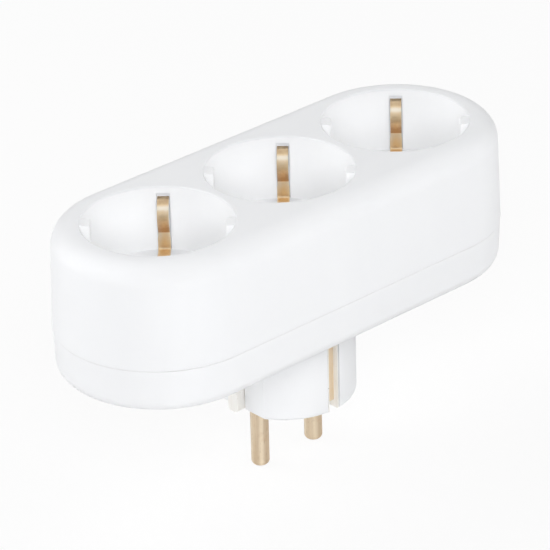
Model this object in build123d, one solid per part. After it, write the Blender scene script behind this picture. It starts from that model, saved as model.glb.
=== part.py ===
from build123d import *
import os
from math import cos, radians, sin, tan

# Three-way earthed mains adapter: a long rounded body with three sockets in line on top
# and a round two-pin plug under its middle.
# Millimetres, +Z from the plug towards the socket mouths, +X along the body.
# The origin is the centre of the plug's end face, midway between its pins.

# Body
body_width = 54.8
casing_height = 27.5
base_height = 12.0
casing_draft = 2.1
base_draft = 1.5
rim_land = 1.91
underside_rounding = 3.5
wall = 2.2
base_floor = 1.8
base_step = 0.2
seam_rounding = 0.3
tongue_height = 2.0
tongue_width = 0.9
tongue_clearance = 0.15

# Sockets
socket_pitch = 41.0
socket_turn = 45.0
recess_radius = 19.2
recess_depth = 17.4
recess_draft = 1.6
recess_wall = 1.6
recess_floor = 2.0
mouth_rounding = 0.4
rib_width = 4.3
rib_reach = 2.6
rib_drop = 0.2
rib_slope = 0.3
rib_rounding = 0.6
earth_slot_width = 3.5
earth_slot_drop = 1.9
earth_slot_depth = 1.2

# Plug and its pins
pin_spacing = 19.0
pin_radius = 2.4
pin_shank_radius = 2.0
pin_length = 19.1
pin_tip_rounding = 1.3
pin_hole_clearance = 0.55
pin_fit = 0.05
plug_radius = 18.5
plug_length = 23.3
plug_flat_distance = 16.1
plug_wall = 1.8
plug_edge_rounding = 0.8

# Pin carrier
key_width = 3.5
key_clearance = 0.35
key_set_back = 0.35
key_rounding = 1.2
carrier_clearance = 0.1
carrier_flange_width = 1.6
carrier_flange_thickness = 1.6
groove_mouth_depth = 2.5
tip_pocket_depth = 2.0

# Current-carrying bars and clips
bar_thickness = 0.8
bar_height = 8.0
bar_end_margin = 4.5
bar_lift = 4.9
tab_width = 6.0
tenon_radius = 1.5
tenon_head_radius = 2.3
tenon_head_height = 0.9
clip_thickness = 0.5
clip_height = 10.5
clip_mouth_width = 3.4
clip_foot_width = 4.0
saddle_x = 25.5
saddle_size = 4.0
saddle_grip = 2.5

# Earth pieces
strap_thickness = 0.7
strap_width = 3.2
spring_width = 2.95
strap_stand_off = 1.0
spring_bend_drop = 11.9
spring_nose_drop = 4.5
spring_reach = 5.8
spring_end_drop = 3.3
spring_end_depth = 0.5
strap_bend_radius = 1.0
spring_nose_radius = 4.0
strap_eye_radius = 3.5
earth_bar_thickness = 0.8
earth_bar_width = 6.0
yoke_thickness = 0.8
yoke_width = 5.0
yoke_arm_width = 2.9
yoke_arm_distance = 16.8
yoke_arm_lift = 2.2
yoke_bend_radius = 1.4
rivet_radius = 1.5
rivet_head_radius = 2.75
rivet_head_height = 1.2
rivet_head_rounding = 1.08

# Casing screws
screw_inset = 7.9
screw_radius = 1.5
screw_length = 16.0
screw_head_radius = 2.8
screw_head_height = 2.0
screw_clearance = 0.2
screw_post_wall = 1.2
screw_seat_lift = 7.0
screw_bite = 0.3

# Levels and derived sizes
underside_z = plug_length
base_floor_z = underside_z + base_floor
seam_z = underside_z + base_height
mouth_z = seam_z + casing_height
floor_z = mouth_z - recess_depth
floor_under_z = floor_z - recess_floor
carrier_top_z = base_floor_z + carrier_flange_thickness
bar_z = base_floor_z + bar_lift
earth_bar_z = floor_under_z - earth_bar_thickness
yoke_z = earth_bar_z - yoke_thickness
screw_seat_z = underside_z + screw_seat_lift

body_radius = body_width / 2
top_radius = body_radius - casing_height * tan(radians(casing_draft))
top_rounding = (top_radius - rim_land - recess_radius) / tan(radians(90 - casing_draft) / 2)
base_radius = body_radius - base_step
floor_radius = recess_radius - recess_depth * tan(radians(recess_draft))
pin_offset = pin_spacing / 2
pin_hole_radius = pin_radius + pin_hole_clearance
sleeve_radius = pin_radius + pin_fit
bar_face_y = pin_offset * cos(radians(socket_turn)) + sleeve_radius + clip_thickness + pin_fit
screw_post_radius = screw_head_radius + screw_clearance + screw_post_wall
socket_x = [-socket_pitch, 0.0, socket_pitch]
screw_y = body_radius - screw_inset
screw_places = [(sx * socket_pitch / 2, sy * screw_y) for sx in (-1, 1) for sy in (-1, 1)]
STAND = (Align.CENTER, Align.CENTER, Align.MIN)


def obround(radius):
    """Plan of the body: straight sides with round ends centred on the outer sockets."""
    return SlotCenterToCenter(2 * socket_pitch, 2 * radius)


def rod(radius, bottom, top, x=0.0, y=0.0):
    """Upright cylinder between two levels."""
    return Pos(x, y, bottom) * Cylinder(radius, top - bottom, align=STAND)


def block(width, depth, bottom, top, x=0.0, y=0.0):
    """Upright block between two levels, centred in plan."""
    return Pos(x, y, bottom) * Box(width, depth, top - bottom, align=STAND)


def socket_place(x, z):
    """Place of a socket: local X runs through its earth contacts, local Y through its pin holes."""
    return Pos(x, 0, z) * Rot(0, 0, socket_turn)


def plug_outline(inset):
    """Plan of the plug nose, a circle with two flats that clear the guide ribs of a socket."""
    flats = Rectangle(2 * (plug_flat_distance - inset), 2 * plug_radius)
    return Circle(plug_radius - inset) & flats


def key_outline(width, reach):
    """Plan of the four keys of the pin carrier."""
    return Rectangle(2 * reach, width) + Rectangle(width, 2 * reach)


def upper_casing():
    """Upper shell: hollow, with three drafted recesses that hang from its top as cups with slot pockets."""
    outer = extrude(Pos(0, 0, seam_z) * obround(body_radius), casing_height, taper=casing_draft)
    outer = fillet(outer.faces().sort_by(Axis.Z)[-1].edges(), top_rounding)
    outer = fillet(outer.faces().sort_by(Axis.Z)[0].edges(), seam_rounding)
    cavity_plan = Pos(0, 0, seam_z) * obround(body_radius - wall)
    cavity = extrude(cavity_plan, casing_height - wall, taper=casing_draft)
    cavity = fillet(cavity.faces().sort_by(Axis.Z)[-1].edges(), top_rounding - wall)
    cup_height = mouth_z - floor_under_z
    cup = Cone(floor_radius + recess_wall, recess_radius + recess_wall, cup_height, align=STAND)
    pocket_reach = recess_radius + earth_slot_depth + recess_wall
    pocket = block(2 * pocket_reach, earth_slot_width + 2 * recess_wall, 0, cup_height)
    for x in socket_x:
        cavity -= Pos(x, 0, floor_under_z) * cup
        cavity -= socket_place(x, floor_under_z) * pocket
    shell = outer - cavity
    boss_bottom = screw_seat_z + screw_post_wall
    for x, y in screw_places:
        shell += rod(screw_radius + screw_post_wall, boss_bottom, mouth_z - wall / 2, x, y)
    for x in socket_x:
        shell -= Pos(x, 0, floor_z) * Cone(floor_radius, recess_radius, recess_depth, align=STAND)
    top_face = shell.faces().sort_by(Axis.Z)[-1]
    mouths = [wire.edges() for wire in top_face.inner_wires()]
    shell = fillet([edge for edges in mouths for edge in edges], mouth_rounding)
    for x in socket_x:
        shell += socket_place(x, floor_z) * guide_ribs()
        shell -= socket_place(x, floor_z) * recess_openings()
    rebate = tongue_width + tongue_clearance
    shell -= tongue(rebate, tongue_height + tongue_clearance, wall - rebate)
    for x, y in screw_places:
        shell -= rod(screw_radius - screw_bite, boss_bottom, screw_seat_z + screw_length, x, y)
    return shell


def guide_ribs():
    """Pair of upright ribs on the recess wall beside the pin holes, their tops sloping inwards."""
    inner = recess_radius - rib_reach
    outer = floor_radius + recess_wall / 2
    height = recess_depth - rib_drop
    corners = [(inner, 0), (outer, 0), (outer, height), (inner, height - rib_slope)]
    side = make_face(Polyline(*corners, close=True))
    rib = extrude(Plane.YZ * side, rib_width / 2, both=True)
    inner_edges = rib.faces().sort_by(Axis.Y)[0].edges().sort_by(Axis.Z)
    rib = fillet(inner_edges[1:], rib_rounding)
    return rib + Rot(0, 0, 180) * rib


def recess_openings():
    """Pin holes and rivet hole in a recess floor, and the wall slots behind the earth contacts."""
    slot_height = recess_depth - earth_slot_drop
    slots = block(2 * (recess_radius + earth_slot_depth), earth_slot_width, 0, slot_height)
    slots -= rod(floor_radius - recess_wall, 0, slot_height)
    holes = rod(rivet_radius, -recess_floor, 0)
    for side in (-1, 1):
        holes += rod(pin_hole_radius, -recess_floor, 0, 0, side * pin_offset)
    return slots + holes


def tongue(width, height, inset):
    """Ring on the base's rim, inside the foot of the upper shell, inset from the outer face."""
    ring = obround(body_radius - inset) - obround(body_radius - inset - width)
    return extrude(Pos(0, 0, seam_z) * ring, height)


def base():
    """Lower shell with the slotted plug nose, saddles for the bars and posts for the screws."""
    rim = Pos(0, 0, seam_z) * obround(base_radius)
    outer = extrude(rim, base_height, dir=(0, 0, -1), taper=base_draft)
    outer = fillet(outer.faces().sort_by(Axis.Z)[0].edges(), underside_rounding)
    outer = fillet(outer.faces().sort_by(Axis.Z)[-1].edges(), seam_rounding)
    inner_radius = base_radius - wall - base_height * tan(radians(base_draft))
    floor_plan = Pos(0, 0, base_floor_z) * obround(inner_radius)
    cavity = extrude(floor_plan, seam_z - base_floor_z, taper=-base_draft)
    cavity = fillet(cavity.faces().sort_by(Axis.Z)[0].edges(), underside_rounding - base_floor)
    for x, y in screw_places:
        cavity -= rod(screw_post_radius, underside_z, screw_seat_z + screw_post_wall, x, y)
    saddle_top = bar_z + saddle_grip
    for x in (-saddle_x, saddle_x):
        for side in (-1, 1):
            bar_y = side * (bar_face_y + bar_thickness / 2)
            cavity -= block(saddle_size, saddle_size, underside_z, saddle_top, x, bar_y)
    nose = extrude(plug_outline(0), underside_z + base_floor / 2)
    nose = fillet(nose.faces().sort_by(Axis.Z)[0].edges(), plug_edge_rounding)
    shell = outer - cavity + nose
    shell += tongue(tongue_width, tongue_height, wall - tongue_width)
    slots = key_outline(key_width + 2 * key_clearance, plug_radius + key_clearance)
    shell -= extrude(plug_outline(plug_wall) + slots, base_floor_z)
    for side in (-1, 1):
        bar_y = side * (bar_face_y + bar_thickness / 2)
        shell -= block(2 * (saddle_x + saddle_size), bar_thickness, bar_z, saddle_top, 0, bar_y)
    for x, y in screw_places:
        shell -= rod(screw_head_radius + screw_clearance, underside_z, screw_seat_z, x, y)
        shell -= rod(screw_radius + screw_clearance, underside_z, screw_seat_z + screw_post_wall, x, y)
    return shell


def pin_carrier():
    """Insert that fills the plug nose and holds the pins, with keys in the slots of the nose."""
    carrier = extrude(plug_outline(plug_wall + carrier_clearance), carrier_top_z)
    carrier += rod(plug_radius + carrier_flange_width, base_floor_z, carrier_top_z)
    side_keys = extrude(Rectangle(2 * plug_radius, key_width), carrier_top_z)
    side_keys = fillet(lower_edges(side_keys), key_rounding)
    earth_keys = extrude(Rectangle(key_width, 2 * (plug_radius - key_set_back)), carrier_top_z)
    carrier += [side_keys, fillet(lower_edges(earth_keys), key_set_back)]
    groove_depth = plug_radius + 2 * carrier_flange_width - (yoke_arm_distance - yoke_thickness)
    groove_back_y = yoke_arm_distance - yoke_thickness
    groove_y = groove_back_y + groove_depth / 2
    for side in (-1, 1):
        carrier -= block(yoke_arm_width, groove_depth, 0, carrier_top_z, 0, side * groove_y)
        mouth_y = side * groove_back_y
        carrier -= block(yoke_arm_width, 2 * groove_mouth_depth, 0, yoke_arm_lift, 0, mouth_y)
        carrier -= rod(pin_shank_radius, 0, carrier_top_z, side * pin_offset)
    pocket = rod(pin_hole_radius, carrier_top_z - tip_pocket_depth, carrier_top_z, 0, pin_offset)
    return carrier - Rot(0, 0, socket_turn) * pocket - Rot(0, 0, socket_turn + 180) * pocket


def lower_edges(keys):
    """The two lower edges along X of a pair of keys."""
    return keys.faces().sort_by(Axis.Z)[0].edges().filter_by(Axis.X)


def plug_pin(x):
    """Turned pin with a rounded tip, a thinner shank in the carrier and a riveted tenon."""
    tab_top = carrier_top_z + bar_thickness
    head_top = tab_top + tenon_head_height
    outline = Polyline(
        (0, -pin_length), (pin_radius, -pin_length), (pin_radius, 0), (pin_shank_radius, 0),
        (pin_shank_radius, carrier_top_z), (tenon_radius, carrier_top_z), (tenon_radius, tab_top),
        (tenon_head_radius, tab_top), (tenon_head_radius, head_top), (0, head_top), close=True)
    profile = make_face(outline)
    profile = fillet(profile.vertices().group_by(Axis.Y)[0].sort_by(Axis.X)[-1:], pin_tip_rounding)
    profile = fillet(profile.vertices().group_by(Axis.Y)[-1].sort_by(Axis.X)[-1:], tenon_head_height / 2)
    return Pos(x, 0, 0) * revolve(Plane.XZ * profile, Axis.Z)


def bar(side):
    """Bar on edge beside one row of pin holes, with a tab bent in over its plug pin."""
    holes = [x - side * pin_offset * sin(radians(socket_turn)) for x in socket_x]
    length = holes[-1] - holes[0] + 2 * bar_end_margin
    centre = (holes[0] + holes[-1]) / 2
    bar_y = side * (bar_face_y + bar_thickness / 2)
    strip = block(length, bar_thickness, bar_z, bar_z + bar_height, centre, bar_y)
    pin_x = side * pin_offset
    leg = block(tab_width, bar_thickness, carrier_top_z, bar_z, pin_x, bar_y)
    tab_depth = bar_face_y + bar_thickness
    tab_top = carrier_top_z + bar_thickness
    tab = block(tab_width, tab_depth, carrier_top_z, tab_top, pin_x, side * tab_depth / 2)
    tab += rod(tab_width / 2, carrier_top_z, tab_top, pin_x)
    return strip + leg + tab - rod(tenon_radius, carrier_top_z, tab_top, pin_x)


def clip(x, side):
    """Sleeve rolled from strip round one pin hole, open inwards and welded to its bar."""
    hole = Vector(0, side * pin_offset, 0).rotate(Axis.Z, socket_turn)
    plan = Circle(sleeve_radius + clip_thickness)
    foot_depth = bar_face_y - abs(hole.Y)
    plan += Pos(0, side * foot_depth / 2) * Rectangle(clip_foot_width, foot_depth)
    plan -= Circle(sleeve_radius)
    plan -= Pos(0, -side * sleeve_radius) * Rectangle(clip_mouth_width, 2 * sleeve_radius)
    return extrude(Pos(x + hole.X, hole.Y, bar_z) * plan, clip_height)


def earth_strap(x):
    """Strap across a recess floor, both ends bowed springs whose tips lie in the wall slots."""
    half = strap_thickness / 2
    foot_r = floor_radius - strap_stand_off
    path = FilletPolyline(
        (0, half), (foot_r, half), (foot_r, recess_depth - spring_bend_drop),
        (recess_radius - spring_reach, recess_depth - spring_nose_drop),
        (recess_radius + spring_end_depth, recess_depth - spring_end_drop),
        radius=[strap_bend_radius, strap_thickness, spring_nose_radius])
    section = make_face(offset(path, half, side=Side.BOTH, kind=Kind.ARC))
    arm = extrude(Plane.XZ * section, strap_width / 2, both=True)
    shoulder_z = recess_depth - spring_bend_drop - strap_width / 2
    trim = (strap_width - spring_width) / 2
    for side in (-1, 1):
        edge_y = side * (spring_width + trim) / 2
        arm -= block(4 * spring_reach, trim, shoulder_z, recess_depth, foot_r, edge_y)
    strap = arm + Rot(0, 0, 180) * arm + rod(strap_eye_radius, 0, strap_thickness)
    return socket_place(x, floor_z) * (strap - rod(rivet_radius, 0, strap_thickness))


def earth_bar():
    """Flat strip along the body under the three recess floors."""
    plan = SlotCenterToCenter(2 * socket_pitch, earth_bar_width)
    strip = extrude(Pos(0, 0, earth_bar_z) * plan, earth_bar_thickness)
    for x in socket_x:
        strip -= rod(rivet_radius, earth_bar_z, floor_under_z, x)
    return strip


def earth_yoke():
    """Strip across the body under the earth bar, with two arms that run down the sides of the plug."""
    outer = make_face(Polyline(
        (-yoke_arm_distance, yoke_arm_lift), (-yoke_arm_distance, earth_bar_z),
        (yoke_arm_distance, earth_bar_z), (yoke_arm_distance, yoke_arm_lift), close=True))
    outer = fillet(outer.vertices().group_by(Axis.Y)[-1], yoke_bend_radius)
    reach = yoke_arm_distance - yoke_thickness
    inner = make_face(Polyline(
        (-reach, yoke_arm_lift), (-reach, yoke_z), (reach, yoke_z), (reach, yoke_arm_lift), close=True))
    inner = fillet(inner.vertices().group_by(Axis.Y)[-1], yoke_bend_radius - yoke_thickness)
    yoke = extrude(Plane.YZ * (outer - inner), yoke_arm_width / 2, both=True)
    yoke += block(yoke_width, 2 * strap_eye_radius, yoke_z, earth_bar_z)
    return yoke - rod(rivet_radius, yoke_z, earth_bar_z)


def earth_rivet(x):
    """Round-headed rivet through a strap, a recess floor, the earth bar and, in the middle, the yoke."""
    top = floor_z + strap_thickness
    bottom = yoke_z if x == 0 else earth_bar_z
    head = make_face(Polyline((0, 0), (rivet_head_radius, 0), (rivet_head_radius, rivet_head_height),
                              (0, rivet_head_height), close=True))
    head = fillet(head.vertices().group_by(Axis.Y)[-1].sort_by(Axis.X)[-1:], rivet_head_rounding)
    dome = revolve(Plane.XZ * head, Axis.Z)
    rivet = rod(rivet_radius, bottom, top) + Pos(0, 0, top) * dome
    return Pos(x, 0, 0) * (rivet + Pos(0, 0, bottom) * Rot(180, 0, 0) * dome)


def casing_screw(x, y):
    """Pan-head self-tapping screw with a cross recess, head down in its post."""
    head_bottom = screw_seat_z - screw_head_height
    head = rod(screw_head_radius, head_bottom, screw_seat_z)
    head = fillet(head.faces().sort_by(Axis.Z)[0].edges(), screw_head_height / 2)
    bite = screw_radius - screw_bite
    shank = rod(bite, screw_seat_z, screw_seat_z + screw_length - screw_post_wall)
    cross = key_outline(screw_radius / 2, screw_radius)
    return Pos(x, y, 0) * (head + shank - extrude(Pos(0, 0, head_bottom) * cross, screw_head_height / 2))


parts = {
    "upper_casing": upper_casing(),
    "base": base(),
    "pin_carrier": pin_carrier(),
    "left_pin": plug_pin(-pin_offset),
    "right_pin": plug_pin(pin_offset),
    "front_bar": bar(-1),
    "rear_bar": bar(1),
    "earth_bar": earth_bar(),
    "earth_yoke": earth_yoke(),
    "earth_rivets": Compound([earth_rivet(x) for x in socket_x]),
    "casing_screws": Compound([casing_screw(x, y) for x, y in screw_places]),
}
for number, x in enumerate(socket_x, start=1):
    parts["earth_strap_%d" % number] = earth_strap(x)
    parts["front_clip_%d" % number] = clip(x, -1)
    parts["rear_clip_%d" % number] = clip(x, 1)

os.makedirs("parts", exist_ok=True)
for name, part in parts.items():
    export_step(part, "parts/%s.step" % name)
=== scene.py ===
from math import cos, pi, radians, sin, sqrt, tan

import bmesh
import bpy
from mathutils import Matrix, Vector


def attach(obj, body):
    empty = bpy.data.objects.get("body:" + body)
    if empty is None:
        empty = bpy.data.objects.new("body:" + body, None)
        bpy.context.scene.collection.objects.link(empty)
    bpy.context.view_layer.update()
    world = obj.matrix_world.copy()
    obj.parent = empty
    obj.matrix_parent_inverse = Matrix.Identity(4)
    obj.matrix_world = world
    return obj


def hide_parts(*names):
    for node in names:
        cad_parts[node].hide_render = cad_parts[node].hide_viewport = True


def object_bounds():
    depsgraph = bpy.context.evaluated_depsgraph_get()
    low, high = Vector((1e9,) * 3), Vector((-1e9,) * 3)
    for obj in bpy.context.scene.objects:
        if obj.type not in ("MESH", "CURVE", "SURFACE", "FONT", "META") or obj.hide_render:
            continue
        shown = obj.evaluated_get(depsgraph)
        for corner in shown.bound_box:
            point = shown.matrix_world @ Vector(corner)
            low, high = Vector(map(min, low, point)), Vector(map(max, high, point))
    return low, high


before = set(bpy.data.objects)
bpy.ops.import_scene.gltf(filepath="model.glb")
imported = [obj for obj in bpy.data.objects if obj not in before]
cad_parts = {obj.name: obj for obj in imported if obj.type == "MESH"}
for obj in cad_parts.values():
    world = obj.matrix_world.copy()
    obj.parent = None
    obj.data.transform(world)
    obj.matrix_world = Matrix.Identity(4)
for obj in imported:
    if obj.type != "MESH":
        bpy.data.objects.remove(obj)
cad_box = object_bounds()


# Base: the white lower shell, with the round plug nose under its middle.
# It is moulded in one piece from white plastic with a satin gloss, and screwed from below to the
# upper casing, which is moulded from the same plastic.

MM = 0.001
SOCKET_PITCH = 41.0 * MM
MOUTH_RADIUS = 19.2 * MM
MOUTH_TOP = 62.8 * MM
RECESS_FLOOR = 45.4 * MM
RECESS_MARGIN = 0.1 * MM
FLOOR_MARGIN = 1.0 * MM
# Where the painted light of the recesses fades out below their mouths.
PAINTED_LIGHT_START = 0.2 * MM
PAINTED_LIGHT_FULL = 0.6 * MM
SEAM = 35.3 * MM
SEAM_LINE = 0.30 * MM
SEAM_CORE = 0.3 * SEAM_LINE
WHITE_PALE = (0.884, 0.891, 0.904, 1)
WHITE_DEEP = (0.865, 0.873, 0.888, 1)
# Painted light: the recesses are coloured a paler white than the outside.
WHITE_PAINTED_LIGHT = (0.963, 0.968, 0.977, 1)
# Painted shade: the seam line between the two shells is coloured darker.
WHITE_SEAM_SHADE = (0.82, 0.82, 0.83, 1)
WHITE_ROUGHNESS = (0.36, 0.46)
WHITE_SHINE = 0.3
FLOW_MARKS = dict(scale=38, detail=3, roughness=0.55, distortion=0.8)
FLOW_STRETCH = (1.0, 1.0, 0.35)
GLOSS_PATCHES = dict(scale=240, detail=3)
MOULD_GRAIN = dict(scale=2600, detail=2)
MOULD_GRAIN_DEPTH = 0.004 * MM
NOISE_SPREAD = (0.3, 0.7)
NONE_TO_ALL = (0, 1)
ALL_TO_NONE = (1, 0)


def new_material(name):
    """Empty node material with its shader and output, and the coordinates to paint by."""
    material = bpy.data.materials.new(name)
    material.use_nodes = True
    tree = material.node_tree
    tree.nodes.clear()
    output = tree.nodes.new("ShaderNodeOutputMaterial")
    shader = tree.nodes.new("ShaderNodeBsdfPrincipled")
    place = tree.nodes.new("ShaderNodeTexCoord")
    tree.links.new(shader.outputs["BSDF"], output.inputs["Surface"])
    return material, tree, shader, place


def noise(tree, place, scale, detail, roughness=0.5, distortion=0.0):
    """Noise texture of that many blotches to the metre."""
    node = tree.nodes.new("ShaderNodeTexNoise")
    node.inputs["Scale"].default_value = scale
    node.inputs["Detail"].default_value = detail
    node.inputs["Roughness"].default_value = roughness
    node.inputs["Distortion"].default_value = distortion
    tree.links.new(place, node.inputs["Vector"])
    return node.outputs["Fac"]


def stretched(tree, place, scale):
    """Coordinates drawn out along one way, for streaks."""
    node = tree.nodes.new("ShaderNodeMapping")
    node.inputs["Scale"].default_value = scale
    tree.links.new(place, node.inputs["Vector"])
    return node.outputs["Vector"]


def remap(tree, value, given, wanted):
    """Value spread from the given range to the wanted one, without going past its ends."""
    node = tree.nodes.new("ShaderNodeMapRange")
    ends = ("From Min", "From Max", "To Min", "To Max")
    for end, number in zip(ends, given + wanted):
        node.inputs[end].default_value = number
    tree.links.new(value, node.inputs["Value"])
    return node.outputs["Result"]


def blend_colours(tree, share, first, second):
    """Mix of two colours, each a colour or another node's output."""
    node = tree.nodes.new("ShaderNodeMix")
    node.data_type = "RGBA"
    tree.links.new(share, node.inputs["Factor"])
    for socket, colour in ((node.inputs["A"], first), (node.inputs["B"], second)):
        if isinstance(colour, tuple):
            socket.default_value = colour
        else:
            tree.links.new(colour, socket)
    return node.outputs["Result"]


def relief(tree, shader, height, depth):
    """Bump of that depth in metres."""
    node = tree.nodes.new("ShaderNodeBump")
    node.inputs["Strength"].default_value = 1.0
    node.inputs["Distance"].default_value = depth
    tree.links.new(height, node.inputs["Height"])
    tree.links.new(node.outputs["Normal"], shader.inputs["Normal"])


def maths(tree, operation, *values):
    """Sum, product or other operation on values, each a number or another node's output."""
    node = tree.nodes.new("ShaderNodeMath")
    node.operation = operation
    for socket, value in zip(node.inputs, values):
        if isinstance(value, (int, float)):
            socket.default_value = value
        else:
            tree.links.new(value, socket)
    return node.outputs["Value"]


def split_place(tree, coords):
    """The three coordinates of a point, one by one."""
    node = tree.nodes.new("ShaderNodeSeparateXYZ")
    tree.links.new(coords, node.inputs["Vector"])
    return node.outputs["X"], node.outputs["Y"], node.outputs["Z"]


def inside_recess(tree, coords):
    """1 on the walls and floors of the three recesses, where a paler colour is painted in as light, and 0
    on the outside.
    """
    x, y, height = split_place(tree, coords)
    nearest = maths(tree, "SNAP", maths(tree, "ADD", x, SOCKET_PITCH / 2), SOCKET_PITCH)
    nearest = maths(tree, "MAXIMUM", maths(tree, "MINIMUM", nearest, SOCKET_PITCH), -SOCKET_PITCH)
    across = maths(tree, "SUBTRACT", x, nearest)
    square = maths(tree, "MULTIPLY_ADD", across, across, maths(tree, "MULTIPLY", y, y))
    near_axis = maths(tree, "LESS_THAN", maths(tree, "SQRT", square), MOUTH_RADIUS + RECESS_MARGIN)
    edge = (MOUTH_TOP - PAINTED_LIGHT_FULL, MOUTH_TOP - PAINTED_LIGHT_START)
    below_edge = remap(tree, height, edge, ALL_TO_NONE)
    above_floor = maths(tree, "GREATER_THAN", height, RECESS_FLOOR - FLOOR_MARGIN)
    return maths(tree, "MULTIPLY", maths(tree, "MULTIPLY", near_axis, below_edge), above_floor)


def at_seam(tree, coords):
    """1 in the line between the two shells, which is painted darker as shade, and 0 away from it."""
    height = split_place(tree, coords)[2]
    off = maths(tree, "ABSOLUTE", maths(tree, "SUBTRACT", height, SEAM))
    return remap(tree, off, (SEAM_CORE, SEAM_LINE), ALL_TO_NONE)


def white_plastic():
    """White moulding: faint flow marks in its colour, painted light in the recesses, painted shade along
    the seam, patches in its gloss, and the mould's fine grain.
    """
    material, tree, shader, place = new_material("white_moulding")
    coords = place.outputs["Object"]
    flow = noise(tree, stretched(tree, coords, FLOW_STRETCH), **FLOW_MARKS)
    colour = blend_colours(tree, remap(tree, flow, NOISE_SPREAD, NONE_TO_ALL), WHITE_PALE, WHITE_DEEP)
    # The recesses get a paler white, as painted light.
    colour = blend_colours(tree, inside_recess(tree, coords), colour, WHITE_PAINTED_LIGHT)
    # Painted shade along the seam between the shells.
    colour = blend_colours(tree, at_seam(tree, coords), colour, WHITE_SEAM_SHADE)
    tree.links.new(colour, shader.inputs["Base Color"])
    patches = noise(tree, coords, **GLOSS_PATCHES)
    tree.links.new(remap(tree, patches, NOISE_SPREAD, WHITE_ROUGHNESS), shader.inputs["Roughness"])
    relief(tree, shader, noise(tree, coords, **MOULD_GRAIN), MOULD_GRAIN_DEPTH)
    shader.inputs["Specular IOR Level"].default_value = WHITE_SHINE
    return material


def dress(node, material):
    """Gives a piece that keeps its solid's own shape its finished surface."""
    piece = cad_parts[node]
    piece.data.materials.clear()
    piece.data.materials.append(material)


white_moulding = white_plastic()
dress("base", white_moulding)


# Pin carrier: the insert inside the plug nose, moulded from natural plastic without pigment.
# It holds the two pins, and its four keys show as pale blocks in the slots of the nose.

NATURAL_PALE = (0.94, 0.925, 0.89, 1)
NATURAL_DEEP = (0.87, 0.84, 0.79, 1)
NATURAL_SPECK = (0.30, 0.25, 0.19, 1)
NATURAL_ROUGHNESS = (0.42, 0.58)
NATURAL_STREAKS = dict(scale=900, detail=3, roughness=0.6)
NATURAL_STRETCH = (1.0, 1.0, 0.06)
NATURAL_STREAK_SPREAD = (0.35, 0.65)
NATURAL_STREAK_DEPTH = 0.01 * MM
NATURAL_SPECKS = dict(scale=1500, detail=1)
SPECK_SPREAD = (0.74, 0.80)
SPECK_SHARE = (0, 0.7)


def natural_plastic():
    """Cloudy natural plastic with upright flow streaks and a few dark specks."""
    material, tree, shader, place = new_material("natural_moulding")
    coords = place.outputs["Object"]
    streaks = noise(tree, stretched(tree, coords, NATURAL_STRETCH), **NATURAL_STREAKS)
    cloudy = remap(tree, streaks, NATURAL_STREAK_SPREAD, NONE_TO_ALL)
    colour = blend_colours(tree, cloudy, NATURAL_PALE, NATURAL_DEEP)
    specks = noise(tree, coords, **NATURAL_SPECKS)
    colour = blend_colours(tree, remap(tree, specks, SPECK_SPREAD, SPECK_SHARE), colour, NATURAL_SPECK)
    tree.links.new(colour, shader.inputs["Base Color"])
    tree.links.new(remap(tree, streaks, NOISE_SPREAD, NATURAL_ROUGHNESS), shader.inputs["Roughness"])
    relief(tree, shader, streaks, NATURAL_STREAK_DEPTH)
    return material


dress("pin_carrier", natural_plastic())


# Plug pins: two solid round pins, turned from brass rod and pressed up through the carrier.
# Their tips are rounded by the lathe, and their upper ends are riveted over the tabs of the bars.

PIN_SPACING = 19.0 * MM
PIN_RADIUS = 2.4 * MM
PIN_TIP = -19.1 * MM
PIN_TIP_ROUNDING = 1.3 * MM
PIN_TIP_STEPS = 8
PIN_SIDES = 96
SHANK_RADIUS = 2.0 * MM
PIN_SHOULDER = 26.7 * MM
TENON_RADIUS = 1.5 * MM
TAB_TOP = 27.5 * MM
TENON_HEAD_RADIUS = 2.3 * MM
TENON_HEAD_TOP = 28.4 * MM
TENON_HEAD_ROUNDING = 0.45 * MM
TENON_HEAD_STEPS = 5
SHARP_FROM = radians(40)
# Painted highlight: four bright lines round each pin, at these turns.
PIN_HIGHLIGHT_AT = [radians(turn) for turn in (56, 165, 236, 345)]
PIN_HIGHLIGHT_NARROWNESS = 24
PIN_DULL = (0.62, 0.48, 0.33, 1)
PIN_BRIGHT = (0.88, 0.75, 0.57, 1)
PIN_FLECK = (0.34, 0.24, 0.15, 1)
BRASS_BROWN = (0.60, 0.38, 0.22, 1)
PIN_ROUGHNESS = (0.34, 0.46)
PIN_STREAKS = dict(scale=900, detail=3, roughness=0.55)
PIN_STREAK_STRETCH = (1.0, 1.0, 0.05)
PIN_STREAK_WEAR = (-0.35, 0.35)
PIN_WEAR_AND_LIGHT_SPREAD = (-0.3, 1.0)
PIN_CLOUD = dict(scale=420, detail=4, roughness=0.6)
PIN_CLOUD_SPREAD = (0.52, 0.80)
PIN_CLOUD_SHARE = (0, 0.35)
PIN_FLECKS = dict(scale=1900, detail=2)
PIN_FLECK_STRETCH = (1.0, 1.0, 0.3)
PIN_FLECK_SPREAD = (0.60, 0.74)
PIN_FLECK_SHARE = (0, 0.3)
LATHE_RINGS = dict(scale=5200, detail=2)
LATHE_RING_STRETCH = (0.15, 0.15, 1.0)
LATHE_RING_DEPTH = 0.0015 * MM


def arc(centre, radius, start, end, steps):
    """Points of an arc in a section, angles in degrees."""
    turns = [radians(start + (end - start) * i / steps) for i in range(steps + 1)]
    return [(centre[0] + radius * cos(t), centre[1] + radius * sin(t)) for t in turns]


def pin_painted_highlight(turn):
    """How bright a pin is painted round its axis: a painted highlight along four lines, standing in for
    the reflections on a round pin.
    """
    return max(0.0, max(cos(turn - at) for at in PIN_HIGHLIGHT_AT)) ** PIN_HIGHLIGHT_NARROWNESS


def finished_mesh(name, shape):
    """Mesh data from a working shape, smooth apart from its sharp corners."""
    mesh = bpy.data.meshes.new(name)
    shape.to_mesh(mesh)
    shape.free()
    mesh.polygons.foreach_set("use_smooth", [True] * len(mesh.polygons))
    mesh.set_sharp_from_angle(angle=SHARP_FROM)
    return mesh


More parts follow.
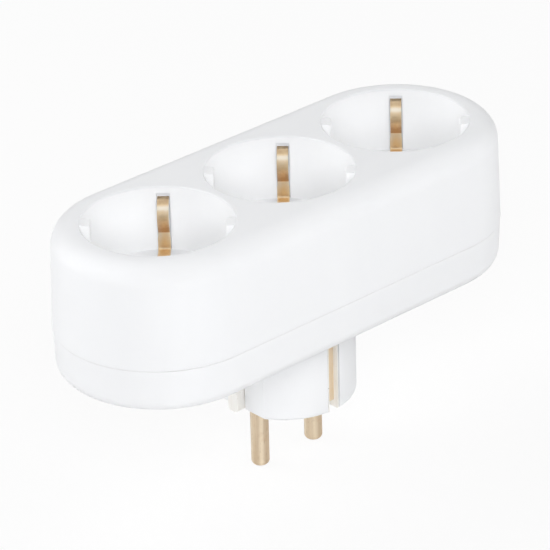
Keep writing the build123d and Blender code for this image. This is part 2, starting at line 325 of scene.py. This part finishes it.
def turned(name, section, wear_and_painted_light):
    """Mesh of a turned piece, from its section of (radius, height) points from axis to axis."""
    shape = bmesh.new()
    wear_and_light = shape.verts.layers.float.new("wear_and_painted_light")
    turns = [2 * pi * i / PIN_SIDES for i in range(PIN_SIDES)]
    rings = []
    for radius, height in section:
        if radius == 0:
            rings.append([shape.verts.new((0, 0, height))])
        else:
            rings.append([shape.verts.new((radius * cos(t), radius * sin(t), height)) for t in turns])
            for vert, turn in zip(rings[-1], turns):
                vert[wear_and_light] = wear_and_painted_light(turn)
    for below, above in zip(rings, rings[1:]):
        for i in range(PIN_SIDES):
            j = (i + 1) % PIN_SIDES
            spots = ((below, i), (below, j), (above, j), (above, i))
            corners = [ring[k % len(ring)] for ring, k in spots]
            shape.faces.new(list(dict.fromkeys(corners)))
    bmesh.ops.recalc_face_normals(shape, faces=shape.faces)
    return finished_mesh(name, shape)


def row_tree():
    """Nodes that repeat one piece in a straight row along X, each turned alike, as one mesh."""
    tree = bpy.data.node_groups.new("row_of_alike_pieces", "GeometryNodeTree")
    face = tree.interface
    face.new_socket("Piece", in_out="INPUT", socket_type="NodeSocketGeometry")
    for label, kind in (("Number", "NodeSocketInt"), ("Pitch", "NodeSocketFloat"),
                        ("Turn", "NodeSocketFloat"), ("Finish", "NodeSocketMaterial")):
        face.new_socket(label, in_out="INPUT", socket_type=kind)
    face.new_socket("Row", in_out="OUTPUT", socket_type="NodeSocketGeometry")
    given = tree.nodes.new("NodeGroupInput")
    result = tree.nodes.new("NodeGroupOutput")
    line = tree.nodes.new("GeometryNodeMeshLine")
    gap = tree.nodes.new("ShaderNodeCombineXYZ")
    spin = tree.nodes.new("ShaderNodeCombineXYZ")
    middle = tree.nodes.new("GeometryNodeSetPosition")
    shift = tree.nodes.new("ShaderNodeVectorMath")
    steps = tree.nodes.new("ShaderNodeMath")
    place = tree.nodes.new("GeometryNodeInstanceOnPoints")
    realize = tree.nodes.new("GeometryNodeRealizeInstances")
    finish = tree.nodes.new("GeometryNodeSetMaterial")
    # The row starts at the middle, so it is moved back by half its gaps: (1 - number) / 2 of them.
    steps.operation = "MULTIPLY_ADD"
    steps.inputs[1].default_value = -0.5
    steps.inputs[2].default_value = 0.5
    shift.operation = "SCALE"
    join = tree.links.new
    join(given.outputs["Pitch"], gap.inputs["X"])
    join(given.outputs["Number"], line.inputs["Count"])
    join(gap.outputs["Vector"], line.inputs["Offset"])
    join(given.outputs["Number"], steps.inputs[0])
    join(gap.outputs["Vector"], shift.inputs[0])
    join(steps.outputs["Value"], shift.inputs["Scale"])
    join(line.outputs["Mesh"], middle.inputs["Geometry"])
    join(shift.outputs["Vector"], middle.inputs["Offset"])
    join(middle.outputs["Geometry"], place.inputs["Points"])
    join(given.outputs["Piece"], place.inputs["Instance"])
    join(given.outputs["Turn"], spin.inputs["Z"])
    join(spin.outputs["Vector"], place.inputs["Rotation"])
    join(place.outputs["Instances"], realize.inputs["Geometry"])
    join(realize.outputs["Geometry"], finish.inputs["Geometry"])
    join(given.outputs["Finish"], finish.inputs["Material"])
    join(finish.outputs["Geometry"], result.inputs["Row"])
    return tree


row_nodes = row_tree()


def row_of(name, mesh, number, pitch, turn, material):
    """One object holding a row of alike pieces, centred on the middle of the adapter."""
    maker = bpy.data.objects.new(name + "_maker", mesh)
    bpy.context.scene.collection.objects.link(maker)
    modifier = maker.modifiers.new("row", "NODES")
    modifier.node_group = row_nodes
    sizes = {"Number": number, "Pitch": pitch, "Turn": turn, "Finish": material}
    for socket in row_nodes.interface.items_tree:
        if socket.name in sizes:
            modifier[socket.identifier] = sizes[socket.name]
    seen = maker.evaluated_get(bpy.context.evaluated_depsgraph_get())
    plain = bpy.data.meshes.new_from_object(seen)
    plain.name = name
    bpy.data.objects.remove(maker)
    piece = bpy.data.objects.new(name, plain)
    bpy.context.scene.collection.objects.link(piece)
    return piece


def painted_light_and_wear(tree):
    """How bright each point is, as its mesh says: wear, and on pins and straps painted highlight and shade
    too.
    """
    node = tree.nodes.new("ShaderNodeAttribute")
    node.attribute_name = "wear_and_painted_light"
    return node.outputs["Fac"]


def turned_brass():
    """Brass from the lathe: fine rings round it, streaks from plugging in, a painted highlight along
    lines, and a light brown tarnish.
    """
    material, tree, shader, place = new_material("turned_brass")
    coords = place.outputs["Object"]
    streaks = noise(tree, stretched(tree, coords, PIN_STREAK_STRETCH), **PIN_STREAKS)
    cloud = noise(tree, coords, **PIN_CLOUD)
    streaky = remap(tree, streaks, NOISE_SPREAD, PIN_STREAK_WEAR)
    # Streaks, and the painted highlight or shade that the mesh carries, brighten the brass.
    worn_and_lit = remap(tree, maths(tree, "ADD", streaky, painted_light_and_wear(tree)), PIN_WEAR_AND_LIGHT_SPREAD, NONE_TO_ALL)
    colour = blend_colours(tree, worn_and_lit, PIN_DULL, PIN_BRIGHT)
    tarnish = remap(tree, cloud, PIN_CLOUD_SPREAD, PIN_CLOUD_SHARE)
    colour = blend_colours(tree, tarnish, colour, BRASS_BROWN)
    flecks = noise(tree, stretched(tree, coords, PIN_FLECK_STRETCH), **PIN_FLECKS)
    flecked = remap(tree, flecks, PIN_FLECK_SPREAD, PIN_FLECK_SHARE)
    colour = blend_colours(tree, flecked, colour, PIN_FLECK)
    tree.links.new(colour, shader.inputs["Base Color"])
    tree.links.new(remap(tree, cloud, NOISE_SPREAD, PIN_ROUGHNESS), shader.inputs["Roughness"])
    rings = noise(tree, stretched(tree, coords, LATHE_RING_STRETCH), **LATHE_RINGS)
    relief(tree, shader, rings, LATHE_RING_DEPTH)
    shader.inputs["Metallic"].default_value = 1.0
    return material


pin_brass = turned_brass()
tip_centre = (PIN_RADIUS - PIN_TIP_ROUNDING, PIN_TIP + PIN_TIP_ROUNDING)
head_centre = (TENON_HEAD_RADIUS - TENON_HEAD_ROUNDING, TENON_HEAD_TOP - TENON_HEAD_ROUNDING)
pin_section = [(0, PIN_TIP)]
pin_section += arc(tip_centre, PIN_TIP_ROUNDING, -90, 0, PIN_TIP_STEPS)
pin_section += [(PIN_RADIUS, 0), (SHANK_RADIUS, 0)]
pin_section += [(SHANK_RADIUS, PIN_SHOULDER), (TENON_RADIUS, PIN_SHOULDER)]
pin_section += [(TENON_RADIUS, TAB_TOP), (TENON_HEAD_RADIUS, TAB_TOP)]
pin_section += arc(head_centre, TENON_HEAD_ROUNDING, 0, 90, TENON_HEAD_STEPS)
pin_section += [(0, TENON_HEAD_TOP)]
pin_mesh = turned("pin", pin_section, pin_painted_highlight)
plug_pins = row_of("plug_pins", pin_mesh, number=2, pitch=PIN_SPACING, turn=0.0, material=pin_brass)
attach(plug_pins, "root")
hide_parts("left_pin", "right_pin")


# Bars and clips: brass strip, stamped, bent and welded, hidden between the two shells.
# The front and the rear bar stand on edge, and each carries three clips, rolled round the pin holes
# for the pins of a plug. The earth bar lies flat under the recess floors.

BRASS_TAN = (0.88, 0.68, 0.43, 1)
BAR_ROUGHNESS = (0.28, 0.45)
BAR_CLOUD = dict(scale=300, detail=4, roughness=0.6)
BAR_GRAIN = dict(scale=2400, detail=3)
BAR_GRAIN_DEPTH = 0.006 * MM


def stamped_brass():
    """Rolled brass strip with a fine grain and an uneven brown tarnish."""
    material, tree, shader, place = new_material("stamped_brass")
    coords = place.outputs["Object"]
    cloud = noise(tree, coords, **BAR_CLOUD)
    colour = blend_colours(tree, remap(tree, cloud, NOISE_SPREAD, NONE_TO_ALL), BRASS_TAN, BRASS_BROWN)
    tree.links.new(colour, shader.inputs["Base Color"])
    tree.links.new(remap(tree, cloud, NOISE_SPREAD, BAR_ROUGHNESS), shader.inputs["Roughness"])
    relief(tree, shader, noise(tree, coords, **BAR_GRAIN), BAR_GRAIN_DEPTH)
    shader.inputs["Metallic"].default_value = 1.0
    return material


inner_brass = stamped_brass()
dress("front_bar", inner_brass)
dress("rear_bar", inner_brass)
dress("earth_bar", inner_brass)
for row in ("front", "rear"):
    for number in (1, 2, 3):
        dress("%s_clip_%d" % (row, number), inner_brass)


# Earth yoke: one brass strip bent like a bridge, riveted under the earth bar.
# Its two arms run down in grooves of the carrier and show as the earth contacts at the plug's sides.

YOKE_ARM = 16.8 * MM
YOKE_FOOT = 2.2 * MM
YOKE_TOP = 42.6 * MM
YOKE_THICKNESS = 0.8 * MM
YOKE_BEND = 1.0 * MM
YOKE_WIDTH = 2.9 * MM
YOKE_EYE = 5.0 * MM
YOKE_EYE_REACH = 3.5 * MM
YOKE_STEP = 0.8 * MM
YOKE_RUBBED = 0.75
STRIP_EDGE = 0.12 * MM
STRIP_EDGE_STEPS = 3
BEND_STEP = radians(9)
FEWEST_BEND_STEPS = 4
BRASS_BRIGHT = (0.95, 0.86, 0.72, 1)
SPRING_ROUGHNESS = (0.28, 0.40)
SPRING_STREAKS = dict(scale=2600, detail=3, roughness=0.6)
SPRING_STREAK_STRETCH = (0.05, 1.0, 1.0)
SPRING_STREAK_DEPTH = 0.002 * MM
SPRING_CLOUD = dict(scale=520, detail=4, roughness=0.6)
SPRING_CLOUD_WEAR = 0.5
SPRING_TAN_SPREAD = (0.15, 0.55)
SPRING_BRIGHT_SPREAD = (0.6, 1.3)


def bent_line(corners, bends, step):
    """Line of (across, up) points through the corners, with round bends and points a step apart."""
    corners = [Vector(c) for c in corners]
    line = [corners[0]]
    for before, here, after, radius in zip(corners, corners[1:], corners[2:], bends):
        back = (before - here).normalized()
        on = (after - here).normalized()
        half = back.angle(on) / 2
        reach = radius / tan(half)
        centre = here + (back + on).normalized() * radius / sin(half)
        first = here + back * reach - centre
        sweep = first.angle_signed(here + on * reach - centre)
        count = max(FEWEST_BEND_STEPS, round(abs(sweep) / BEND_STEP))
        for i in range(count + 1):
            spoke = first.copy()
            spoke.rotate(Matrix.Rotation(-sweep * i / count, 2))
            line.append(centre + spoke)
    line.append(corners[-1])
    dense = [line[0]]
    for start, end in zip(line, line[1:]):
        parts = max(1, round((end - start).length / step))
        dense += [start.lerp(end, i / parts) for i in range(1, parts + 1)]
    return dense


def strip(name, line, half_width, thickness, wear_and_painted_light):
    """Mesh of a bent strip with rounded edges: half_width gives its half width, and the brightness
    function its wear and painted light, at a point of its line.
    """
    shape = bmesh.new()
    wear_and_light = shape.verts.layers.float.new("wear_and_painted_light")
    uv = shape.loops.layers.uv.new("strip")
    half = thickness / 2 - STRIP_EDGE
    along = [0.0]
    for before, here in zip(line, line[1:]):
        along.append(along[-1] + (here - before).length)
    rings = []
    for i, point in enumerate(line):
        ahead = line[min(i + 1, len(line) - 1)] - line[max(i - 1, 0)]
        out = Vector((-ahead.y, ahead.x)).normalized()
        side = half_width(point) - STRIP_EDGE
        ring = []
        for corner, (face_way, edge_way) in enumerate(((1, 1), (-1, 1), (-1, -1), (1, -1))):
            for part in range(STRIP_EDGE_STEPS + 1):
                turn = radians(90 * corner + 90 * part / STRIP_EDGE_STEPS)
                place = point + out * (face_way * half + STRIP_EDGE * cos(turn))
                vert = shape.verts.new((place.x, edge_way * side + STRIP_EDGE * sin(turn), place.y))
                vert[wear_and_light] = wear_and_painted_light(point)
                ring.append(vert)
        rings.append(ring)
    count = len(rings[0])
    for i, (below, above) in enumerate(zip(rings, rings[1:])):
        for k in range(count):
            n = (k + 1) % count
            face = shape.faces.new((below[k], below[n], above[n], above[k]))
            spots = ((i, k), (i, k + 1), (i + 1, k + 1), (i + 1, k))
            for loop, (row, column) in zip(face.loops, spots):
                loop[uv].uv = (along[row], column * thickness)
    shape.faces.new(rings[0])
    shape.faces.new(reversed(rings[-1]))
    bmesh.ops.recalc_face_normals(shape, faces=shape.faces)
    return finished_mesh(name, shape)


def contact_brass():
    """Brass spring strip: bright where plugs rub it and where a highlight is painted, brown elsewhere and
    darker where shade is painted, with streaks along its length.
    """
    material, tree, shader, place = new_material("contact_brass")
    streaks = noise(tree, stretched(tree, place.outputs["UV"], SPRING_STREAK_STRETCH), **SPRING_STREAKS)
    cloud = noise(tree, place.outputs["Object"], **SPRING_CLOUD)
    patchy_wear_and_light = maths(tree, "MULTIPLY_ADD", cloud, SPRING_CLOUD_WEAR, painted_light_and_wear(tree))
    worn_and_lit = remap(tree, patchy_wear_and_light, SPRING_TAN_SPREAD, NONE_TO_ALL)
    highlight_and_wear = remap(tree, patchy_wear_and_light, SPRING_BRIGHT_SPREAD, NONE_TO_ALL)
    colour = blend_colours(tree, worn_and_lit, BRASS_BROWN, BRASS_TAN)
    colour = blend_colours(tree, highlight_and_wear, colour, BRASS_BRIGHT)
    tree.links.new(colour, shader.inputs["Base Color"])
    tree.links.new(remap(tree, streaks, NOISE_SPREAD, SPRING_ROUGHNESS), shader.inputs["Roughness"])
    relief(tree, shader, streaks, SPRING_STREAK_DEPTH)
    shader.inputs["Metallic"].default_value = 1.0
    return material


def yoke_half_width(point):
    """Half the yoke's width: wider round the rivet in the middle of its bridge."""
    return (YOKE_EYE if abs(point.x) < YOKE_EYE_REACH else YOKE_WIDTH) / 2


def yoke_rubbed(point):
    """How bright sockets have rubbed the yoke: taken as even all along it."""
    return YOKE_RUBBED


spring_brass = contact_brass()
yoke_middle = YOKE_ARM - YOKE_THICKNESS / 2
yoke_bridge = YOKE_TOP - YOKE_THICKNESS / 2
right_arm = [(yoke_middle, yoke_bridge), (yoke_middle, YOKE_FOOT)]
left_arm = [(-yoke_middle, YOKE_FOOT), (-yoke_middle, yoke_bridge)]
yoke_line = bent_line(left_arm + right_arm, [YOKE_BEND, YOKE_BEND], YOKE_STEP)
yoke_mesh = strip("earth_yoke", yoke_line, yoke_half_width, YOKE_THICKNESS, yoke_rubbed)
# The strip is drawn along the body, and the yoke lies across it.
for vert in yoke_mesh.vertices:
    vert.co = Vector((-vert.co.y, vert.co.x, vert.co.z))
yoke_mesh.materials.append(spring_brass)
earth_yoke = bpy.data.objects.new("earth_yoke_strip", yoke_mesh)
bpy.context.scene.collection.objects.link(earth_yoke)
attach(earth_yoke, "root")
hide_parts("earth_yoke")


# Upper casing: the white upper shell, whose three round recesses hang from its top as cups.
# It is moulded like the base, with guide ribs, pin holes and wall slots, and closes over the base's rim.

dress("upper_casing", white_moulding)


# Earth straps: one brass strap across each recess floor, with both ends bent up into bowed springs.
# The bows rub on the earth strips of a plug, and their tips lie free in the wall slots.

SOCKET_TURN = radians(45)
RECESS_DEPTH = MOUTH_TOP - RECESS_FLOOR
STRAP_THICKNESS = 0.7 * MM
STRAP_WIDTH = 3.2 * MM
STRAP_FOOT = 17.714 * MM
STRAP_EYE = 3.5 * MM
STRAP_STEP = 0.4 * MM
SPRING_WIDTH = 2.95 * MM
SHOULDER_LENGTH = 0.6 * MM
BEND_UP = RECESS_DEPTH - 11.9 * MM
NOSE_UP = RECESS_DEPTH - 4.5 * MM
NOSE_IN = MOUTH_RADIUS - 5.8 * MM
END_UP = RECESS_DEPTH - 3.3 * MM
END_OUT = MOUTH_RADIUS + 0.5 * MM
FOOT_BEND = 1.0 * MM
SPRING_BEND = 0.7 * MM
NOSE_BEND = 4.0 * MM
# Height above the recess floor, and how bright the strap is there: rubbing and a painted highlight at the
# nose, and painted shade just above the bend, where it goes below nought.
STRAP_WEAR_AND_LIGHT = [(up * MM, wear_and_light) for up, wear_and_light in (
    (0.0, 0.30), (1.5, 0.20), (5.3, 0.75), (5.7, -0.25), (7.5, -0.05),
    (10.0, 0.28), (11.8, 0.50), (12.5, 1.3), (13.2, 0.15), (14.1, 0.20))]


def strap_half_width(point):
    """Half the strap's width: an eye round the rivet, a wide foot, shoulders and a narrower spring."""
    if abs(point.x) < STRAP_EYE:
        return max(STRAP_WIDTH / 2, sqrt(STRAP_EYE ** 2 - point.x ** 2))
    shoulder = RECESS_FLOOR + BEND_UP - STRAP_WIDTH / 2
    share = min(1.0, max(0.0, (point.y - shoulder) / SHOULDER_LENGTH))
    return (STRAP_WIDTH + (SPRING_WIDTH - STRAP_WIDTH) * sqrt(share)) / 2


def strap_wear_and_light(point):
    """How bright the strap is painted: most at the nose of its bows, where plugs rub it and a highlight is
    painted, and least just above the bend, as painted shade.
    """
    up = point.y - RECESS_FLOOR
    for (low, start), (high, end) in zip(STRAP_WEAR_AND_LIGHT, STRAP_WEAR_AND_LIGHT[1:]):
        if up <= high:
            break
    return start + (end - start) * min(1.0, max(0.0, (up - low) / (high - low)))


half_strap = STRAP_THICKNESS / 2
right_side = [(STRAP_FOOT, half_strap), (STRAP_FOOT, BEND_UP), (NOSE_IN, NOSE_UP), (END_OUT, END_UP)]
strap_corners = [(-x, z) for x, z in reversed(right_side)] + right_side
strap_corners = [(x, z + RECESS_FLOOR) for x, z in strap_corners]
strap_bends = [NOSE_BEND, SPRING_BEND, FOOT_BEND, FOOT_BEND, SPRING_BEND, NOSE_BEND]
strap_line = bent_line(strap_corners, strap_bends, STRAP_STEP)
strap_mesh = strip("earth_strap", strap_line, strap_half_width, STRAP_THICKNESS, strap_wear_and_light)
earth_straps = row_of("earth_straps", strap_mesh, number=3, pitch=SOCKET_PITCH, turn=SOCKET_TURN,
                      material=spring_brass)
# Left out of the soft light between surfaces, so that no brassy glow tints the white walls.
earth_straps.visible_diffuse = False
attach(earth_straps, "root")
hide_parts("earth_strap_1", "earth_strap_2", "earth_strap_3")


# Earth rivets: three round-headed rivets turned from brass, one in the middle of each recess.
# Each clamps a strap, the recess floor and the earth bar together, and the middle one the yoke as well.

dress("earth_rivets", pin_brass)


# Casing screws: four pan-head screws of zinc-plated steel, with cross recesses.
# They are driven up from below through posts of the base and hold the two shells together.

SCREW_PALE = (0.62, 0.63, 0.65, 1)
SCREW_DARK = (0.42, 0.43, 0.45, 1)
SCREW_ROUGHNESS = (0.25, 0.42)
SCREW_CLOUD = dict(scale=700, detail=3)
SCREW_GRAIN = dict(scale=3000, detail=2)
SCREW_GRAIN_DEPTH = 0.005 * MM


def plated_steel():
    """Zinc-plated steel with a cloudy bright plating."""
    material, tree, shader, place = new_material("plated_steel")
    coords = place.outputs["Object"]
    cloud = noise(tree, coords, **SCREW_CLOUD)
    colour = blend_colours(tree, remap(tree, cloud, NOISE_SPREAD, NONE_TO_ALL), SCREW_PALE, SCREW_DARK)
    tree.links.new(colour, shader.inputs["Base Color"])
    tree.links.new(remap(tree, cloud, NOISE_SPREAD, SCREW_ROUGHNESS), shader.inputs["Roughness"])
    relief(tree, shader, noise(tree, coords, **SCREW_GRAIN), SCREW_GRAIN_DEPTH)
    shader.inputs["Metallic"].default_value = 1.0
    return material


dress("casing_screws", plated_steel())


# Floor: a plain pale table top at the tips of the pins, reaching far past the camera's view.
# It looks white to the camera, a little darker in reflections, and keeps a faint shadow of the adapter.

FLOOR_REACH = 6.0
FLOOR_CELLS = 8
FLOOR_PALE = (0.9, 0.9, 0.9, 1)
FLOOR_ROUGHNESS = 0.9
BACKDROP_WHITE = (1, 1, 1, 1)
SHADOW_SHARE = 0.12
MIRRORED_SHADOW_SHARE = 0.7


def mirror_rays(tree, rays):
    """1 for what is seen in a reflection or through glass, and 0 for the rest."""
    return maths(tree, "MAXIMUM", rays.outputs["Is Glossy Ray"], rays.outputs["Is Transmission Ray"])


floor_shape = bmesh.new()
bmesh.ops.create_grid(floor_shape, x_segments=FLOOR_CELLS, y_segments=FLOOR_CELLS, size=FLOOR_REACH)
floor_mesh = bpy.data.meshes.new("floor")
floor_shape.to_mesh(floor_mesh)
floor_shape.free()
floor_mesh.transform(Matrix.Translation((0, 0, cad_box[0].z)))
floor = bpy.data.objects.new("floor", floor_mesh)
bpy.context.scene.collection.objects.link(floor)
floor_white, floor_tree, floor_shader, _ = new_material("floor_white")
floor_shader.inputs["Base Color"].default_value = FLOOR_PALE
floor_shader.inputs["Roughness"].default_value = FLOOR_ROUGHNESS
floor_shader.inputs["Specular IOR Level"].default_value = 0.0
glow = floor_tree.nodes.new("ShaderNodeEmission")
glow.inputs["Color"].default_value = BACKDROP_WHITE
floor_rays = floor_tree.nodes.new("ShaderNodeLightPath")
mirrored = maths(floor_tree, "MULTIPLY", mirror_rays(floor_tree, floor_rays), 1 - MIRRORED_SHADOW_SHARE)
seen = floor_rays.outputs["Is Camera Ray"]
share = maths(floor_tree, "MULTIPLY_ADD", seen, 1 - SHADOW_SHARE, mirrored)
both = floor_tree.nodes.new("ShaderNodeMixShader")
floor_tree.links.new(share, both.inputs["Fac"])
floor_tree.links.new(floor_shader.outputs["BSDF"], both.inputs[1])
floor_tree.links.new(glow.outputs["Emission"], both.inputs[2])
floor_output = next(n for n in floor_tree.nodes if n.type == "OUTPUT_MATERIAL")
floor_tree.links.new(both.outputs["Shader"], floor_output.inputs["Surface"])
floor_mesh.materials.append(floor_white)


# Light: five large soft lamps, which stand all round the adapter and are left out of its reflections.
# Brass and plastic mirror a pale room with one brighter patch, like a window high on the camera's side.

ROOM_LIGHT = 0.02
ROOM_SEEN = (0.70, 1.0)
WINDOW_AZIMUTH = -48
WINDOW_ELEVATION = 53
WINDOW_EDGE = (cos(radians(38)), cos(radians(12)))
LAMP_DISTANCE = 1.2
# Azimuth and elevation in degrees, width in metres and power in watts.
SOFT_LAMPS = (
    ("camera_lamp", -42, 30, 0.8, 9.4),
    ("front_lamp", 20, 34, 0.8, 3.0),
    ("near_end_lamp", -141, 14, 0.7, 3.9),
    ("far_end_lamp", 75, 28, 0.8, 5.1),
    ("rear_lamp", -152, 45, 0.8, 6.4),
)
LAMPS_AIM = Vector((0, 0, 40 * MM))


def bearing(azimuth, elevation):
    """Way out from the adapter, in degrees round from its long front side and up from the level."""
    turn = radians(azimuth)
    lift = radians(elevation)
    return Vector((sin(turn) * cos(lift), -cos(turn) * cos(lift), sin(lift)))


def soft_lamp(name, azimuth, elevation, size, power):
    """Round lamp with a wide face, turned to the middle of the adapter and left out of its reflections."""
    data = bpy.data.lights.new(name, "AREA")
    data.shape = "DISK"
    data.size = size
    data.energy = power
    lamp = bpy.data.objects.new(name, data)
    lamp.location = LAMPS_AIM + bearing(azimuth, elevation) * LAMP_DISTANCE
    lamp.rotation_euler = bearing(azimuth, elevation).to_track_quat("Z", "Y").to_euler()
    lamp.visible_glossy = False
    bpy.context.scene.collection.objects.link(lamp)


world = bpy.data.worlds.new("pale_room")
bpy.context.scene.world = world
world.use_nodes = True
sky = world.node_tree
sky.nodes.clear()
sky_place = sky.nodes.new("ShaderNodeTexCoord")
sky_way = sky.nodes.new("ShaderNodeVectorMath")
sky_way.operation = "DOT_PRODUCT"
sky_way.inputs[1].default_value = bearing(WINDOW_AZIMUTH, WINDOW_ELEVATION)
sky.links.new(sky_place.outputs["Generated"], sky_way.inputs[0])
sky_seen = remap(sky, sky_way.outputs["Value"], WINDOW_EDGE, ROOM_SEEN)
sky_rays = sky.nodes.new("ShaderNodeLightPath")
sky_mirrored = maths(sky, "SUBTRACT", sky_seen, ROOM_LIGHT)
sky_mirrored = maths(sky, "MULTIPLY", mirror_rays(sky, sky_rays), sky_mirrored)
sky_level = maths(sky, "MAXIMUM", sky_mirrored, sky_rays.outputs["Is Camera Ray"])
sky_level = maths(sky, "ADD", sky_level, ROOM_LIGHT)
background = sky.nodes.new("ShaderNodeBackground")
background.inputs["Color"].default_value = BACKDROP_WHITE
sky.links.new(sky_level, background.inputs["Strength"])
sky_output = sky.nodes.new("ShaderNodeOutputWorld")
sky.links.new(background.outputs["Background"], sky_output.inputs["Surface"])
for lamp_row in SOFT_LAMPS:
    soft_lamp(*lamp_row)


# Camera: a long lens, a little above the adapter and towards its near end.
# It stands where the socket mouths and the pins come out at their places in the photograph.

AZIMUTH = -42.25
ELEVATION = 27.24
ROLL = radians(-1.59)
CAMERA_AIM = Vector((0, 0, MOUTH_TOP))
DISTANCE = 890.4 * MM
ACROSS = -1.186 * MM
BELOW = -26.86 * MM
LENS = 231.05
SENSOR_WIDTH = 36.0
CLIP_END = 20
back = bearing(AZIMUTH, ELEVATION)
level = Vector((cos(radians(AZIMUTH)), sin(radians(AZIMUTH)), 0))
upright = back.cross(level)
right = level * cos(ROLL) + upright * sin(ROLL)
up = upright * cos(ROLL) - level * sin(ROLL)
camera_data = bpy.data.cameras.new("camera")
camera_data.sensor_width = SENSOR_WIDTH
camera_data.lens = LENS
camera_data.clip_end = CLIP_END
camera = bpy.data.objects.new("camera", camera_data)
camera.location = CAMERA_AIM + back * DISTANCE + right * ACROSS + up * BELOW
camera.rotation_euler = Matrix((right, up, back)).transposed().to_euler()
bpy.context.scene.collection.objects.link(camera)
bpy.context.scene.camera = camera
bpy.context.scene.view_settings.view_transform = "Standard"
